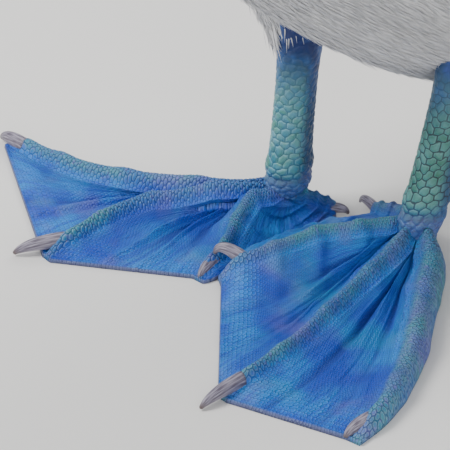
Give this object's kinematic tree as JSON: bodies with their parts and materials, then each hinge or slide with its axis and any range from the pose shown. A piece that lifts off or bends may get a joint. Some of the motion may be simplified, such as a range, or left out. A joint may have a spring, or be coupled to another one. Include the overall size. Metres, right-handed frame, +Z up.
{
  "type": "blue footed booby",
  "caption": "Life-size standing blue-footed booby: a still model with webbed blue feet, white belly, brown folded wings, streaked head, dagger bill and wedge tail",
  "frame": {"origin": "Middle of the bird's own box at floor level", "axes": "Z up; the bird faces -Y; X runs to the bird's left"},
  "size_m": [0.1926, 0.5714, 0.4589],
  "materials": {
    "white_plumage": "soft white body feathers",
    "head_plumage": "pale feathers streaked with brown",
    "brown_plumage": "dark brown flight feathers with paler edges",
    "bill_horn": "dull blue-grey horn",
    "eye": "wet yellow eye with a dark pupil",
    "leg_skin": "teal scaled skin",
    "foot_skin": "bright blue webbed skin",
    "claw_horn": "grey-brown ridged horn"
  },
  "bodies": {
    "root": {"torso": "white_plumage", "neck": "head_plumage", "head": "head_plumage", "bill_upper": "bill_horn", "bill_lower": "bill_horn", "eye_l": "eye", "eye_r": "eye", "wing_l": "brown_plumage", "wing_r": "brown_plumage", "primaries_l": "brown_plumage", "primaries_r": "brown_plumage", "tail": "brown_plumage", "thigh_l": "white_plumage", "thigh_r": "white_plumage", "shin_l": "leg_skin", "shin_r": "leg_skin", "foot_l": "foot_skin", "foot_r": "foot_skin", "claw_l_1": "claw_horn", "claw_l_2": "claw_horn", "claw_l_3": "claw_horn", "claw_l_4": "claw_horn", "claw_r_1": "claw_horn", "claw_r_2": "claw_horn", "claw_r_3": "claw_horn", "claw_r_4": "claw_horn"}
  },
  "joints": []
}
